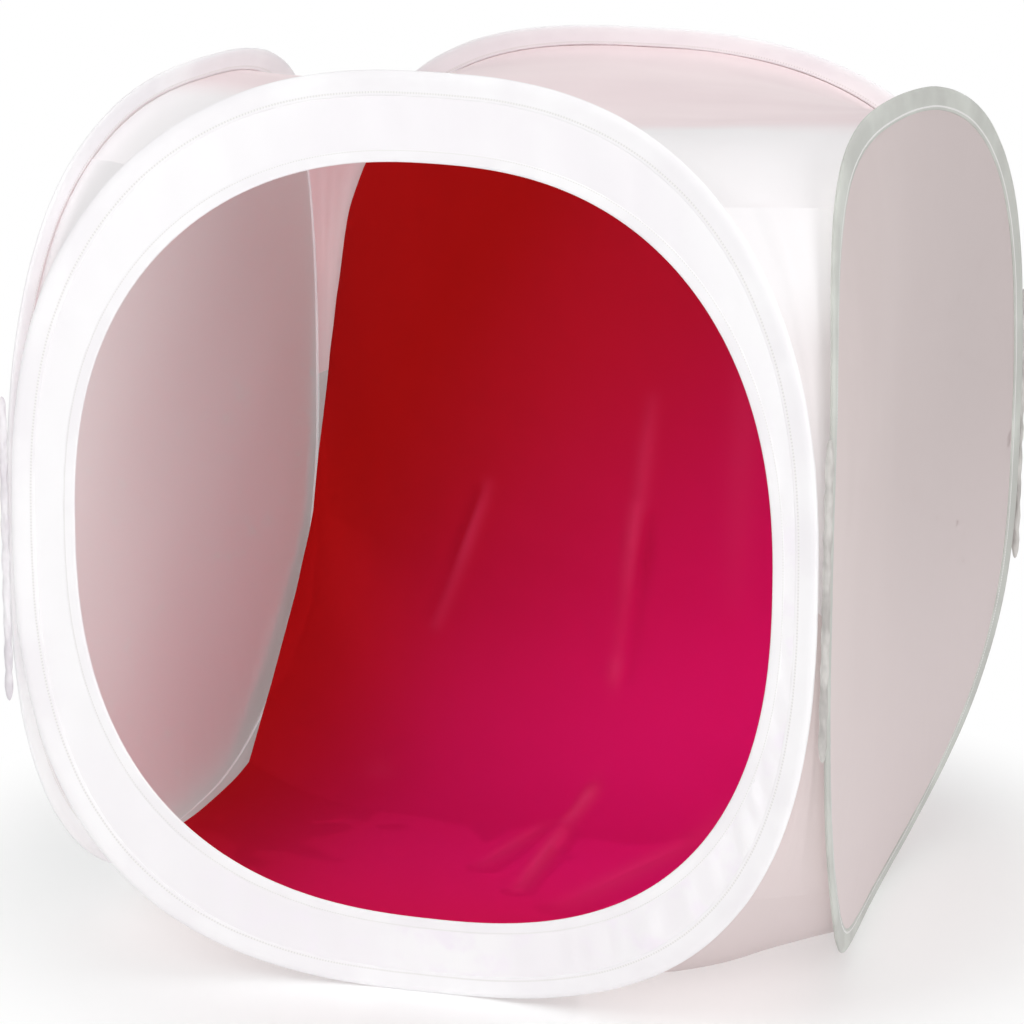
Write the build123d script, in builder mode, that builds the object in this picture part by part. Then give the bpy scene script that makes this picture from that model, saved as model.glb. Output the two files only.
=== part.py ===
from build123d import *
from itertools import combinations
from math import hypot, pi, prod, sin, sqrt
import os

# Collapsible light tent: four spring-steel hoops in cloth sleeves, hinged at the corners.
# X runs across the front, Y from front to back, Z up; the origin is on the table, under the middle.

os.makedirs("parts", exist_ok=True)

# Overall size, to the vertical hinge lines at the corners
tent_width = 776.0
tent_depth = 808.0
front_height = 852.0
back_height = 813.0
side_height = 803.0
corner_gap = 7.0            # from a hinge line to the edge of each hoop
long_arc_share = 2.35       # radius of the long arcs of a hoop, in half-widths
corner_arc_share = 0.78     # radius of its corner arcs, in half-widths

# Sleeves and the steel inside them
sleeve_width = 22.0
sleeve_thickness = 5.6
sleeve_wall = 0.6
wire_inset = 6.5            # from the sleeve's outer edge to the middle of the wire
wire_width = 3.0
wire_thickness = 1.0
wire_gap = 2.0              # between the wire's two ends, inside the ferrule
ferrule_length = 34.0
ferrule_wall = 0.35
ferrule_clearance = 0.1

# Cloth
cloth = 0.6
hem_thickness = 1.4
hem_width = 12.0
opening_width = 660.0
opening_height = 698.0
opening_shift = 8.0         # the opening sits a little towards +X
opening_long_share = 2.05
opening_corner_share = 0.82

# Roof, floor and corner gussets, hung between the hoops' arcs
soft_clearance = 1.5        # between these and the sleeves and panels beside them
roof_seam_share = 0.70      # share of the half-width where the corner gussets start
floor_seam_share = 0.79
roof_level = 710.0          # height that the roof sags towards
floor_level = -60.0         # height that the floor would sag towards without the table
floor_ease = 14.0           # how gently the floor settles onto the table
floor_cloth = 1.0
floor_trim = 0.3            # shaved off the floor's underside, so that it lies flat
gusset_foot_share = 0.9999    # share of the half-width where a gusset's point is sewn off
gusset_foot_tuck = 4.0      # how far the point is tucked in behind the sleeves

# Corner seams, rolled cloth that the hoops turn about
corner_seam_radius = 4.5
corner_seam_length = 290.0
corner_seam_web = 1.0

# Backdrop, hung from a strip on the back panel and laid on the floor
backdrop_cloth = 1.4        # measured along the slope it is made with
backdrop_half_share = 0.955
backdrop_front_share = 0.87
backdrop_bend_share = 0.30  # share of the half-depth where the floor part starts to rise
backdrop_lift = 5.0
sweep_rise = 210.0
backdrop_top_share = 0.985
backdrop_top_inset = 30.0   # below the back hoop's outer edge
backdrop_heel = (0.69, -0.63)   # where its edges run along the side walls, in shares of each wall
backdrop_shin = (0.85, -0.36)
backdrop_waist = (0.92, -0.08)
backdrop_edge_gap = 10.0
backdrop_heel_rise = 45.0    # added to the bend between its middle and its edges
backdrop_edge_lift = 10.0   # added along its edges, where the floor turns up
backdrop_edge_power = 6
backdrop_corner_share = 0.4     # how far its top corners reach across the upper gussets
backdrop_corner_power = 4
backdrop_gap = 3.0          # in front of the back panel
strip_width = 25.0
strip_length = 420.0
strip_thickness = 1.4
strip_clearance = 0.3

half_width = tent_width / 2
half_depth = tent_depth / 2
sheet_margin = 1.04         # cloth sheets are made this much larger, then trimmed


def corner_centre(half_size, half_rise, long_radius, corner_radius):
    """Centre of the corner arc that joins the two long arcs of a rounded square."""
    x = half_size - long_radius
    y = half_rise - long_radius
    gap = hypot(x, y)
    reach = sqrt((long_radius - corner_radius) ** 2 - gap * gap / 4)
    return x / 2 - reach * y / gap, y / 2 - reach * x / gap


def towards(centre, target, radius):
    distance = hypot(target[0] - centre[0], target[1] - centre[1])
    return [c + (t - c) * radius / distance for c, t in zip(centre, target)]


def rounded_outline(half_size, half_rise, long_radius, corner_radius, shift=0.0):
    """The eight arcs of a rounded square."""
    corner = corner_centre(half_size, half_rise, long_radius, corner_radius)
    side_end = towards((half_size - long_radius, 0), corner, long_radius)
    top_end = towards((0, half_rise - long_radius), corner, long_radius)
    middle = [c + corner_radius * sqrt(0.5) for c in corner]
    quarter = [side_end, middle, top_end, (0, half_rise)]
    quarter += [(-x, y) for x, y in (top_end, middle, side_end)] + [(-half_size, 0)]
    points = [Vector(x + shift, y) for x, y in quarter + [(-x, -y) for x, y in quarter]]
    points.append(points[0])
    return [Edge.make_three_point_arc(*points[i:i + 3]) for i in range(0, len(points) - 1, 2)]


def control_value(power, degree, index):
    """Bezier control value of a plain power over the sheet's range."""
    ends = [sheet_margin] * index + [-sheet_margin] * (degree - index)
    choices = list(combinations(ends, power))
    return sum(prod(choice) for choice in choices) / len(choices)


class HoopSide:
    """One hoop with its cloth: a rounded square, bowed between its hinge lines."""

    def __init__(self, name, turn, reach, span, height, dish, lean, twist):
        outward = Vector(0, -1, 0).rotate(Axis.Z, turn)
        along = Vector(1, 0, 0).rotate(Axis.Z, turn)
        self.name = name
        self.span = span - corner_gap
        self.height = height / 2
        self.bow_terms = {(0, 0): -dish, (2, 0): dish, (0, 4): -dish, (0, 3): lean, (1, 3): 2 * twist}
        self.plane = Plane(origin=outward * reach + Vector(0, 0, self.height), x_dir=along, z_dir=outward)

    def place(self, x, y, lift=0.0):
        """The point of the bowed cloth at x along the side and y above its middle."""
        u, v = x / self.span, y / self.height
        bow = sum(size * u ** m * v ** n for (m, n), size in self.bow_terms.items())
        return self.plane.from_local_coords(Vector(x, y, bow + lift))

    def radii(self, inset):
        return long_arc_share * self.span - inset, corner_arc_share * self.span - inset

    def outline(self, inset):
        return rounded_outline(self.span - inset, self.height - inset, *self.radii(inset))

    def rise(self, x, inset):
        """Height of the hoop's outline above its middle, at x along the side."""
        half_size, half_rise = self.span - inset, self.height - inset
        long_radius, corner_radius = self.radii(inset)
        corner = corner_centre(half_size, half_rise, long_radius, corner_radius)
        x = abs(x)
        if x < towards((0, half_rise - long_radius), corner, long_radius)[0]:
            return half_rise - long_radius + sqrt(long_radius ** 2 - x * x)
        if x < towards((half_size - long_radius, 0), corner, long_radius)[0]:
            return corner[1] + sqrt(corner_radius ** 2 - (x - corner[0]) ** 2)
        return sqrt(long_radius ** 2 - (x - half_size + long_radius) ** 2)

    def rim(self, share, up, inset, lift=0.0):
        """A point along the upper (up=1) or lower (up=-1) arc, at a share of the half-width."""
        x = share * (self.span - inset)
        return self.place(x, up * self.rise(x, inset), lift)

    def sheet(self, lift):
        """The bowed surface of the whole side, larger than the hoop."""
        rows = []
        for i in range(3):
            row = []
            for j in range(5):
                bow = sum(
                    size * control_value(m, 2, i) * control_value(n, 4, j)
                    for (m, n), size in self.bow_terms.items()
                )
                x = control_value(1, 2, i) * self.span
                y = control_value(1, 4, j) * self.height
                row.append(self.plane.from_local_coords(Vector(x, y, bow + lift)))
            rows.append(row)
        return Face.make_bezier_surface(rows)


front = HoopSide("front", 0, half_depth, half_width, front_height, 35, -17, 11)
right = HoopSide("right", 90, half_width, half_depth, side_height, 25, 4, 15)
back = HoopSide("back", 180, half_depth, half_width, back_height, 46, -23, -12)
left = HoopSide("left", 270, half_width, half_depth, side_height, 10, -12, 11)
sides = [front, right, back, left]
trim_reach = half_width / 2

# Hoops: sleeve, wire and ferrule, the same on every side

ferrule_bore = wire_thickness + 2 * ferrule_clearance
ferrule_depth = wire_width + 2 * ferrule_clearance
for side in sides:
    outward = side.plane.z_dir
    foot = side.plane.from_local_coords(Vector(0, -side.height, 0))
    foot_plane = Plane(origin=foot, x_dir=side.plane.x_dir, z_dir=outward)

    with BuildPart() as tunnel:
        tunnel_thickness = sleeve_thickness - 2 * sleeve_wall
        extrude(side.sheet(-tunnel_thickness / 2), amount=tunnel_thickness, dir=outward)
        with BuildSketch(side.plane):
            make_face(side.outline(sleeve_wall))
            make_face(side.outline(sleeve_width - sleeve_wall), mode=Mode.SUBTRACT)
        extrude(amount=trim_reach, both=True, mode=Mode.INTERSECT)

    with BuildPart() as sleeve:
        extrude(side.sheet(-sleeve_thickness / 2), amount=sleeve_thickness, dir=outward)
        with BuildSketch(side.plane):
            make_face(side.outline(0))
            make_face(side.outline(sleeve_width), mode=Mode.SUBTRACT)
        extrude(amount=trim_reach, both=True, mode=Mode.INTERSECT)
        add(tunnel.part, mode=Mode.SUBTRACT)
    sleeve.part.label = side.name + "_sleeve"
    export_step(sleeve.part, "parts/" + sleeve.part.label + ".step")

    with BuildPart() as wire:
        extrude(side.sheet(-wire_width / 2), amount=wire_width, dir=outward)
        with BuildSketch(side.plane):
            make_face(side.outline(wire_inset - wire_thickness / 2))
            make_face(side.outline(wire_inset + wire_thickness / 2), mode=Mode.SUBTRACT)
        extrude(amount=trim_reach, both=True, mode=Mode.INTERSECT)
        with BuildSketch(foot_plane):
            Rectangle(wire_gap, 4 * wire_inset)
        extrude(amount=trim_reach, both=True, mode=Mode.SUBTRACT)
    wire.part.label = side.name + "_hoop_wire"
    export_step(wire.part, "parts/" + wire.part.label + ".step")

    with BuildPart() as bore:
        extrude(side.sheet(-ferrule_depth / 2), amount=ferrule_depth, dir=outward)
        with BuildSketch(side.plane):
            make_face(side.outline(wire_inset - ferrule_bore / 2))
            make_face(side.outline(wire_inset + ferrule_bore / 2), mode=Mode.SUBTRACT)
        extrude(amount=trim_reach, both=True, mode=Mode.INTERSECT)

    with BuildPart() as ferrule:
        ferrule_outer = ferrule_depth + 2 * ferrule_wall
        extrude(side.sheet(-ferrule_outer / 2), amount=ferrule_outer, dir=outward)
        with BuildSketch(side.plane):
            make_face(side.outline(wire_inset - ferrule_bore / 2 - ferrule_wall))
            make_face(side.outline(wire_inset + ferrule_bore / 2 + ferrule_wall), mode=Mode.SUBTRACT)
        extrude(amount=trim_reach, both=True, mode=Mode.INTERSECT)
        with BuildSketch(foot_plane):
            Rectangle(ferrule_length, 4 * wire_inset)
        extrude(amount=trim_reach, both=True, mode=Mode.INTERSECT)
        add(bore.part, mode=Mode.SUBTRACT)
    ferrule.part.label = side.name + "_ferrule"
    export_step(ferrule.part, "parts/" + ferrule.part.label + ".step")

# Cloth panels inside the hoops

for side in [right, back, left]:
    with BuildPart() as panel:
        extrude(side.sheet(-cloth / 2), amount=cloth, dir=side.plane.z_dir)
        with BuildSketch(side.plane):
            make_face(side.outline(sleeve_width))
        extrude(amount=trim_reach, both=True, mode=Mode.INTERSECT)
    panel.part.label = side.name + "_panel"
    export_step(panel.part, "parts/" + panel.part.label + ".step")



def opening_outline(outset):
    half_size = opening_width / 2
    return rounded_outline(
        half_size + outset, opening_height / 2 + outset,
        opening_long_share * half_size + outset, opening_corner_share * half_size + outset, opening_shift,
    )


with BuildPart() as front_border:
    extrude(front.sheet(-cloth / 2), amount=cloth, dir=front.plane.z_dir)
    with BuildSketch(front.plane):
        make_face(front.outline(sleeve_width))
        make_face(opening_outline(hem_width), mode=Mode.SUBTRACT)
    extrude(amount=trim_reach, both=True, mode=Mode.INTERSECT)
front_border.part.label = "front_border"
export_step(front_border.part, "parts/front_border.step")

with BuildPart() as opening_hem:
    extrude(front.sheet(-hem_thickness / 2), amount=hem_thickness, dir=front.plane.z_dir)
    with BuildSketch(front.plane):
        make_face(opening_outline(hem_width))
        make_face(opening_outline(0), mode=Mode.SUBTRACT)
    extrude(amount=trim_reach, both=True, mode=Mode.INTERSECT)
opening_hem.part.label = "opening_hem"
export_step(opening_hem.part, "parts/opening_hem.step")

# Corner seams: each is sewn to the side on its left, seen from outside, and carries the next side

for side, corner in [
    (front, "front_right"), (right, "back_right"), (left, "front_left"), (back, "back_left"),
]:
    hinge = side.span + corner_gap
    with BuildPart() as corner_seam:
        extrude(side.sheet(-corner_seam_web / 2), amount=corner_seam_web, dir=side.plane.z_dir)
        with BuildSketch(side.plane):
            with Locations((hinge - corner_gap, 0)):
                Rectangle(2 * corner_gap, corner_seam_length)
            make_face(side.outline(0), mode=Mode.SUBTRACT)
        extrude(amount=corner_seam_radius, both=True, mode=Mode.INTERSECT)
        seam_foot = side.plane.from_local_coords(Vector(hinge, -corner_seam_length / 2, 0))
        with BuildSketch(Plane(origin=seam_foot)):
            Circle(corner_seam_radius)
        extrude(amount=corner_seam_length)
    corner_seam.part.label = corner + "_seam"
    export_step(corner_seam.part, "parts/" + corner_seam.part.label + ".step")

# Roof and floor

edge_inset = sleeve_width + soft_clearance
edge_lift = -(sleeve_thickness / 2 + soft_clearance)


def seam_curve(side, up, seam_share, share):
    """The edge that a side gives the roof or floor, run on straight past its corner seam."""
    nudge = 0.001
    held = max(-seam_share, min(seam_share, share))
    point = side.rim(held, up, edge_inset, edge_lift)
    slope = (side.rim(held + nudge, up, edge_inset, edge_lift) - point) * (1 / nudge)
    return point + slope * (share - held)


def edge_curve(side, neighbours, up, seam_share, share):
    """The same edge, eased so that neighbouring sides meet in one corner point."""
    point = seam_curve(side, up, seam_share, share)
    past = max(0.0, abs(share) - seam_share) / (1 - seam_share)
    if past:
        end = 1 if share > 0 else -1
        own_end = seam_curve(side, up, seam_share, end)
        next_end = seam_curve(neighbours[end], up, seam_share, -end)
        point = point + (next_end - own_end) * (past * past / 2)
    return point


def hung_point(up, s, t):
    """A point of the roof or floor at shares s across and t back."""
    seam_share = roof_seam_share if up == 1 else floor_seam_share
    level = roof_level if up == 1 else floor_level
    front_next, back_next = {1: right, -1: left}, {1: left, -1: right}
    curves = [
        edge_curve(front, front_next, up, seam_share, s),
        edge_curve(back, back_next, up, seam_share, -s),
        edge_curve(left, {1: front, -1: back}, up, seam_share, -t),
        edge_curve(right, {1: back, -1: front}, up, seam_share, t),
    ]
    corners = {
        (0, 2): edge_curve(front, front_next, up, seam_share, -1),
        (0, 3): edge_curve(front, front_next, up, seam_share, 1),
        (1, 2): edge_curve(back, back_next, up, seam_share, 1),
        (1, 3): edge_curve(back, back_next, up, seam_share, -1),
    }
    plain = [(1 - t) / 2, (1 + t) / 2, (1 - s) / 2, (1 + s) / 2]
    slack = [weight ** 3 for weight in plain]
    spread = sum((curve * weight for curve, weight in zip(curves, plain)), Vector())
    height = level + sum((curve.Z - level) * weight for curve, weight in zip(curves, slack))
    for (i, j), corner in corners.items():
        spread = spread - corner * (plain[i] * plain[j])
        height = height - (corner.Z - level) * slack[i] * slack[j]
    return Vector(spread.X, spread.Y, height)


def settled(point, lowest):
    """A floor point eased onto the table."""
    height = (point.Z + hypot(point.Z, floor_ease)) / 2
    return Vector(point.X, point.Y, height - lowest)


middle_drop = settled(hung_point(-1, 0, 0), 0).Z + floor_trim


def floor_point(s, t):
    return settled(hung_point(-1, s, t), middle_drop)


def corner_cut(side, next_side, up, seam_share):
    """Plan of what lies outside the chord between two corner seams."""
    start = side.rim(seam_share, up, edge_inset, edge_lift)
    end = next_side.rim(-seam_share, up, edge_inset, edge_lift)
    start = Vector(start.X, start.Y)
    end = Vector(end.X, end.Y)
    chord = end - start
    away = Vector(chord.Y, -chord.X)
    return [start - chord, end + chord, end + chord + away, start - chord + away]


steps = 14
shares = [-1 + 2 * i / steps for i in range(steps + 1)]
table_reach = tent_width
for name, up, seam_share, thickness in [
    ("top", 1, roof_seam_share, cloth), ("bottom", -1, floor_seam_share, floor_cloth),
]:
    if up == 1:
        grid = [[hung_point(up, s, t) for t in shares] for s in shares]
    else:
        grid = [[floor_point(s, t) for t in shares] for s in shares]
    with BuildPart() as hung:
        cloth_face = Face.make_surface_from_array_of_points(grid, tol=0.05, max_deg=5)
        extrude(cloth_face, amount=thickness, dir=(0, 0, 1))
        with BuildSketch():
            for side, next_side in zip(sides, [right, back, left, front]):
                with BuildLine():
                    Polyline(*corner_cut(side, next_side, up, seam_share), close=True)
                make_face()
        extrude(amount=front_height, both=True, mode=Mode.SUBTRACT)
        with BuildSketch():
            Rectangle(2 * table_reach, 2 * table_reach)
        extrude(amount=-front_height, mode=Mode.SUBTRACT)
    hung.part.label = name + "_panel"
    export_step(hung.part, "parts/" + hung.part.label + ".step")

# Gussets between neighbouring arcs, above and below each corner seam

rows = 12
for name, up, seam_share in [("upper", 1, roof_seam_share), ("lower", -1, floor_seam_share)]:
    for side, next_side, corner in [
        (front, right, "front_right"), (right, back, "back_right"),
        (back, left, "back_left"), (left, front, "front_left"),
    ]:
        grid = []
        for i in range(rows + 1):
            share = gusset_foot_share - (gusset_foot_share - seam_share) * (1 - i / rows) ** 2
            lift = edge_lift - gusset_foot_tuck * (i / rows)
            start = side.rim(share, up, edge_inset, lift)
            end = next_side.rim(-share, up, edge_inset, lift)
            grid.append([start, (start + end) * 0.5, end])
        outward = side.plane.z_dir + next_side.plane.z_dir
        with BuildPart() as gusset:
            cloth_face = Face.make_surface_from_array_of_points(grid, tol=0.05, max_deg=5)
            extrude(cloth_face, amount=cloth, dir=outward)
        gusset.part.label = corner + "_" + name + "_gusset"
        export_step(gusset.part, "parts/" + gusset.part.label + ".step")

# Backdrop and the strip that holds its top edge

columns = 16
floor_rows = 16
bend_rows = 6
wall_rows = 8
grid = []
for i in range(columns + 1):
    spread = sin(pi / 2 * (2 * i / columns - 1))
    s = backdrop_half_share * spread
    held = abs(spread) ** backdrop_edge_power
    side, back_end = (right, 1) if s > 0 else (left, -1)
    heel_hook, shin_hook, waist_hook = [
        side.place(back_end * u * side.span, v * side.height, -backdrop_edge_gap)
        for u, v in (backdrop_heel, backdrop_shin, backdrop_waist)
    ]
    top_share = backdrop_top_share * spread
    across = backdrop_corner_share * abs(spread) ** backdrop_corner_power
    top = back.rim(-top_share, 1, backdrop_top_inset, -backdrop_gap) * (1 - across)
    top += side.rim(back_end * abs(top_share), 1, backdrop_top_inset, -backdrop_gap) * across
    run = backdrop_front_share + backdrop_bend_share
    column = [floor_point(s, -backdrop_front_share + run * j / floor_rows) for j in range(floor_rows + 1)]
    lift = backdrop_lift + floor_cloth + backdrop_edge_lift * held
    column = [point + Vector(0, 0, lift) for point in column]
    foot = column[-1]
    heel_rise = backdrop_heel_rise * spread ** 4
    heel = Vector((foot.X + top.X) / 2, top.Y, foot.Z + heel_rise) * (1 - held) + heel_hook * held
    shin = Vector(top.X, top.Y, foot.Z + sweep_rise) * (1 - held) + shin_hook * held
    waist = (shin + top) * ((1 - held) / 2) + waist_hook * held
    for j in range(1, bend_rows + 1):
        share = j / bend_rows
        column.append(foot * (1 - share) ** 2 + heel * (2 * share * (1 - share)) + shin * share ** 2)
    for j in range(1, wall_rows + 1):
        share = j / wall_rows
        column.append(shin * (1 - share) ** 2 + waist * (2 * share * (1 - share)) + top * share ** 2)
    grid.append(column)
with BuildPart() as backdrop:
    cloth_face = Face.make_surface_from_array_of_points(grid, tol=0.05, max_deg=5)
    extrude(cloth_face, amount=backdrop_cloth, dir=(0, -1, 1))
backdrop.part.label = "backdrop"
export_step(backdrop.part, "parts/backdrop.step")

with BuildPart() as backdrop_strip:
    strip_lift = -(cloth / 2 + strip_clearance)
    extrude(back.sheet(strip_lift), amount=-strip_thickness, dir=back.plane.z_dir)
    with BuildSketch(back.plane):
        with Locations((0, back.height)):
            Rectangle(strip_length, back.height)
        make_face(back.outline(backdrop_top_inset), mode=Mode.INTERSECT)
        make_face(back.outline(backdrop_top_inset + strip_width), mode=Mode.SUBTRACT)
    extrude(amount=trim_reach, both=True, mode=Mode.INTERSECT)
backdrop_strip.part.label = "backdrop_strip"
export_step(backdrop_strip.part, "parts/backdrop_strip.step")
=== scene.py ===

import bpy
import bmesh
import math
from mathutils import Matrix, Vector, noise


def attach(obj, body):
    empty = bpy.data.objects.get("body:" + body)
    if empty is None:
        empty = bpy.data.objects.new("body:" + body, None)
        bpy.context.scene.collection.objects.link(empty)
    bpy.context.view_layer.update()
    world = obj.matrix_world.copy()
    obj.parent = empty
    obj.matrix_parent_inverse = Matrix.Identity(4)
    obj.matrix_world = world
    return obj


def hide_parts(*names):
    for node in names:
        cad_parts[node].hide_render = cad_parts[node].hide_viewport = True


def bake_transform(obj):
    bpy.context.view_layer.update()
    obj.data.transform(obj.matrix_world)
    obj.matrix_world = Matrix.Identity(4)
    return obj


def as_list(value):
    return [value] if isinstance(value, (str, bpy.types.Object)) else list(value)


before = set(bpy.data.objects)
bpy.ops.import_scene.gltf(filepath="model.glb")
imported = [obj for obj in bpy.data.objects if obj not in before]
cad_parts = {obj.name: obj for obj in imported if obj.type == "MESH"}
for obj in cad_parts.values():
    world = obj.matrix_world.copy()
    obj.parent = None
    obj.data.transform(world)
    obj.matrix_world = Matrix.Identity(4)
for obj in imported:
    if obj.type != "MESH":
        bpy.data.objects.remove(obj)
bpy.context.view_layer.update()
print("frame loaded")

# the tent in metres: hinge lines, hoops, and how each hoop is bowed
tent = {"halfWidth": 0.388, "halfDepth": 0.404, "cornerGap": 0.007, "roundness": 2.55, "sleeveWidth": 0.022}
hoops = {
    "front": {"turn": 0, "height": 0.852, "dish": 0.035, "lean": -0.017, "twist": 0.011},
    "right": {"turn": 90, "height": 0.803, "dish": 0.025, "lean": 0.004, "twist": 0.015},
    "back": {"turn": 180, "height": 0.813, "dish": 0.046, "lean": -0.023, "twist": -0.012},
    "left": {"turn": 270, "height": 0.803, "dish": 0.010, "lean": -0.012, "twist": 0.011},
}
for name, hoop in hoops.items():
    turn = Matrix.Rotation(math.radians(hoop["turn"]), 3, "Z")
    hoop["name"] = name
    hoop["along"] = turn @ Vector((1, 0, 0))
    hoop["outward"] = turn @ Vector((0, -1, 0))
    facing = name in ("front", "back")
    hoop["reach"] = tent["halfDepth"] if facing else tent["halfWidth"]
    hoop["span"] = (tent["halfWidth"] if facing else tent["halfDepth"]) - tent["cornerGap"]
    hoop["rise"] = hoop["height"] / 2


def onCloth(hoop, x, y, lift=0.0):
    # a point of the bowed side, x along it and y above its middle
    u, v = x / hoop["span"], y / hoop["rise"]
    bow = -hoop["dish"] * (1 - u * u + v ** 4) + hoop["lean"] * v ** 3 + 2 * hoop["twist"] * u * v ** 3
    outwards = hoop["outward"] * (hoop["reach"] + bow + lift)
    return outwards + hoop["along"] * x + Vector((0, 0, hoop["rise"] + y))


def squircle(angle, roundness=tent["roundness"]):
    c, s = math.cos(angle), math.sin(angle)
    r = (abs(c) ** roundness + abs(s) ** roundness) ** (-1 / roundness)
    return r * c, r * s


def onHoop(hoop, angle, inset, lift=0.0):
    u, v = squircle(angle)
    return onCloth(hoop, u * (hoop["span"] - inset), v * (hoop["rise"] - inset), lift)


def onArc(hoop, share, up, inset, lift=0.0):
    rise = max(0.0, 1 - abs(share) ** tent["roundness"]) ** (1 / tent["roundness"])
    return onCloth(hoop, share * (hoop["span"] - inset), up * rise * (hoop["rise"] - inset), lift)


def ripple(x, y, z, scale, seed=0.0):
    return noise.noise(Vector((x * scale + seed, y * scale - seed, z * scale + 0.37 * seed)))


def finishPiece(bm, name, material, recalc=True, sharpAngle=None):
    if recalc:
        bmesh.ops.recalc_face_normals(bm, faces=bm.faces)
    mesh = bpy.data.meshes.new(name)
    bm.to_mesh(mesh)
    bm.free()
    for face in mesh.polygons:
        face.use_smooth = True
    if sharpAngle:
        mesh.set_sharp_from_angle(angle=math.radians(sharpAngle))
    piece = bpy.data.objects.new(name, mesh)
    bpy.context.scene.collection.objects.link(piece)
    mesh.materials.append(material)
    return piece


def gridCloth(columns, rows, place):
    # a sheet that starts as a flat grid from -1 to 1 and is laid out by place, with its own map
    bm = bmesh.new()
    bmesh.ops.create_grid(bm, x_segments=columns, y_segments=rows, size=1.0)
    uvLayer = bm.loops.layers.uv.new("flat")
    for face in bm.faces:
        for loop in face.loops:
            loop[uvLayer].uv = (loop.vert.co.x, loop.vert.co.y)
    for vert in bm.verts:
        vert.co = place(vert.co.x, vert.co.y)
    return bm


def clothArea(bm):
    return sum(face.calc_area() for face in bm.faces)


def thicken(bm, thickness):
    bmesh.ops.solidify(bm, geom=bm.faces[:], thickness=thickness)


def newGroup(name, inputs, outputs):
    group = bpy.data.node_groups.new(name, "ShaderNodeTree")
    for label, value in inputs.items():
        socket = group.interface.new_socket(label, in_out="INPUT", socket_type="NodeSocketFloat")
        socket.default_value = value
    for label in outputs:
        group.interface.new_socket(label, in_out="OUTPUT", socket_type="NodeSocketFloat")
    start = group.nodes.new("NodeGroupInput")
    end = group.nodes.new("NodeGroupOutput")
    return group, start, end


def mathNode(tree, operation, a, b=None, clamp=False):
    node = tree.nodes.new("ShaderNodeMath")
    node.operation = operation
    node.use_clamp = clamp
    for socket, value in zip(node.inputs, (a, b)):
        if value is None:
            continue
        if isinstance(value, (int, float)):
            socket.default_value = value
        else:
            tree.links.new(value, socket)
    return node.outputs[0]


def makeWeaveGroup():
    # plain weave on Object coordinates: a height for the threads and a faint shade
    group, start, end = newGroup("plainWeave", {"Threads": 900.0, "Depth": 1.0}, ["Height", "Shade"])
    coords = group.nodes.new("ShaderNodeTexCoord")
    parts = group.nodes.new("ShaderNodeSeparateXYZ")
    group.links.new(coords.outputs["Object"], parts.inputs[0])
    across = mathNode(group, "ADD", parts.outputs["X"], parts.outputs["Y"])
    waves = []
    for axis in (across, parts.outputs["Z"]):
        scaled = mathNode(group, "MULTIPLY", axis, start.outputs["Threads"])
        waves.append(mathNode(group, "SINE", mathNode(group, "MULTIPLY", scaled, math.tau)))
    crossed = mathNode(group, "MULTIPLY", waves[0], waves[1])
    lifted = mathNode(group, "MULTIPLY", crossed, start.outputs["Depth"])
    group.links.new(lifted, end.inputs["Height"])
    group.links.new(mathNode(group, "MULTIPLY", lifted, 0.5), end.inputs["Shade"])
    return group


def makeStreakGroup():
    # soft pulls and unevenness of thin cloth: long stretched noise, plus a fine one
    group, start, end = newGroup(
        "clothStreaks", {"Scale": 6.0, "StretchX": 1.0, "StretchY": 1.0, "StretchZ": 1.0, "Fine": 60.0},
        ["Broad", "Fine"],
    )
    coords = group.nodes.new("ShaderNodeTexCoord")
    stretch = group.nodes.new("ShaderNodeCombineXYZ")
    for axis in "XYZ":
        group.links.new(start.outputs["Stretch" + axis], stretch.inputs[axis])
    scaled = group.nodes.new("ShaderNodeVectorMath")
    scaled.operation = "MULTIPLY"
    group.links.new(coords.outputs["Object"], scaled.inputs[0])
    group.links.new(stretch.outputs[0], scaled.inputs[1])
    for label, source in (("Broad", "Scale"), ("Fine", "Fine")):
        grain = group.nodes.new("ShaderNodeTexNoise")
        grain.inputs["Detail"].default_value = 3.0
        grain.inputs["Roughness"].default_value = 0.5
        group.links.new(scaled.outputs[0], grain.inputs["Vector"])
        group.links.new(start.outputs[source], grain.inputs["Scale"])
        group.links.new(grain.outputs[0], end.inputs[label])
    return group


def makeStitchGroup():
    # dashes of thread in a shallow groove; Across is 0 at the middle of a tube's map
    group, start, end = newGroup(
        "stitchLine", {"Along": 0.0, "Across": 0.0, "Line": 0.8, "Width": 0.03, "Count": 400.0},
        ["Groove", "Thread"],
    )
    fromMiddle = mathNode(group, "ABSOLUTE", start.outputs["Across"])
    off = mathNode(group, "SUBTRACT", fromMiddle, start.outputs["Line"])
    off = mathNode(group, "ABSOLUTE", off)
    groove = mathNode(group, "LESS_THAN", off, start.outputs["Width"])
    counted = mathNode(group, "MULTIPLY", start.outputs["Along"], start.outputs["Count"])
    beat = mathNode(group, "FRACT", counted)
    group.links.new(mathNode(group, "MULTIPLY", groove, 0.6), end.inputs["Groove"])
    threaded = mathNode(group, "LESS_THAN", beat, 0.62)
    group.links.new(mathNode(group, "MULTIPLY", groove, threaded), end.inputs["Thread"])
    return group


weaveGroup = makeWeaveGroup()
stitchGroup = makeStitchGroup()
streakGroup = makeStreakGroup()


def useGroup(tree, group, values):
    node = tree.nodes.new("ShaderNodeGroup")
    node.node_tree = group
    for label, value in values.items():
        node.inputs[label].default_value = value
    return node


def mixColour(tree, factor, first, second):
    node = tree.nodes.new("ShaderNodeMix")
    node.data_type = "RGBA"
    node.clamp_factor = True
    tree.links.new(factor, node.inputs[0])
    for socket, value in ((node.inputs[6], first), (node.inputs[7], second)):
        if isinstance(value, tuple):
            socket.default_value = (*value, 1.0)
        else:
            tree.links.new(value, socket)
    return node.outputs[2]


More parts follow.
